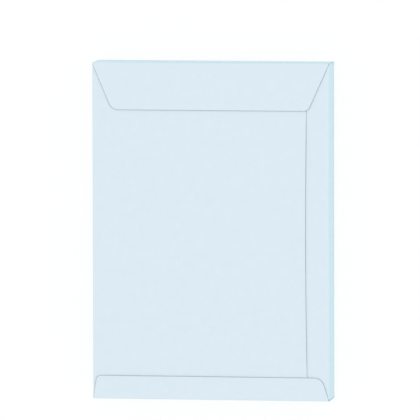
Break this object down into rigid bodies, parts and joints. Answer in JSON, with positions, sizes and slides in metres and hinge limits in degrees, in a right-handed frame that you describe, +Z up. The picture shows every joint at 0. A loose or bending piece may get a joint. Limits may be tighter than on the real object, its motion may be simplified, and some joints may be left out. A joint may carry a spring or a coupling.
{
  "type": "closed gusseted paper envelope",
  "caption": "Large closed pocket envelope of pale blue paper with square sides, a seam near one side, a long top flap and a short bottom flap",
  "frame": {"origin": "Under the middle of the address side, on the surface that the envelope lies on.", "axes": "+Z points up out of the flap side, +Y along the envelope towards the end with the long top flap, and +X across it towards the side with the seam."},
  "size_m": [0.229, 0.324, 0.0403],
  "materials": {
    "pale_blue_paper": "matte"
  },
  "bodies": {
    "root": {"envelope": "pale_blue_paper"}
  },
  "joints": []
}
